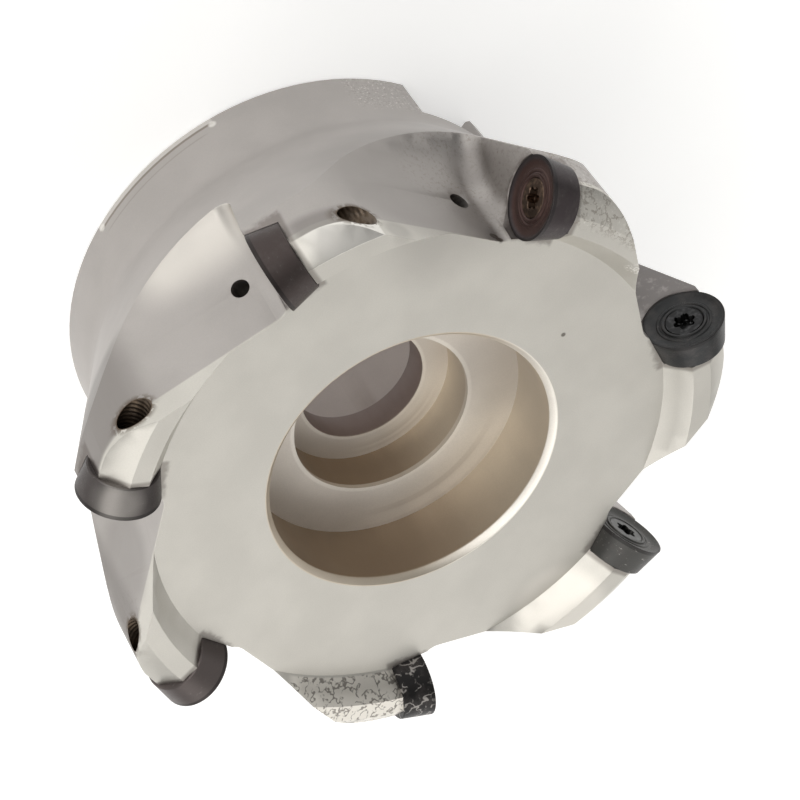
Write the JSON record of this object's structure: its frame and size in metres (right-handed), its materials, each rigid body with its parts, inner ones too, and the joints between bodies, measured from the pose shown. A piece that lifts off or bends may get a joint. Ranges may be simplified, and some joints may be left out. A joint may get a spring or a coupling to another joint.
{
  "type": "indexable face mill",
  "caption": "Round-insert face mill: steel body with stepped arbor bore, drive slots, milled chip gullets, coolant holes and screwed-in round carbide inserts.",
  "frame": {"origin": "on the arbor bore's axis, at the hub's flat back face that sits on the arbor", "axes": "+Z along the cutting axis from the hub's back face towards the cutting face, +X along the drive slots"},
  "size_m": [0.0977, 0.0964, 0.05],
  "materials": {
    "body_steel": "satin nickel-plated steel with milling marks and wear",
    "coated_carbide": "dark grey-brown coated carbide with ground edges",
    "screw_steel": "oiled screw steel"
  },
  "bodies": {
    "root": {"cutter_body": "body_steel", "inserts": "coated_carbide"}
  },
  "joints": []
}
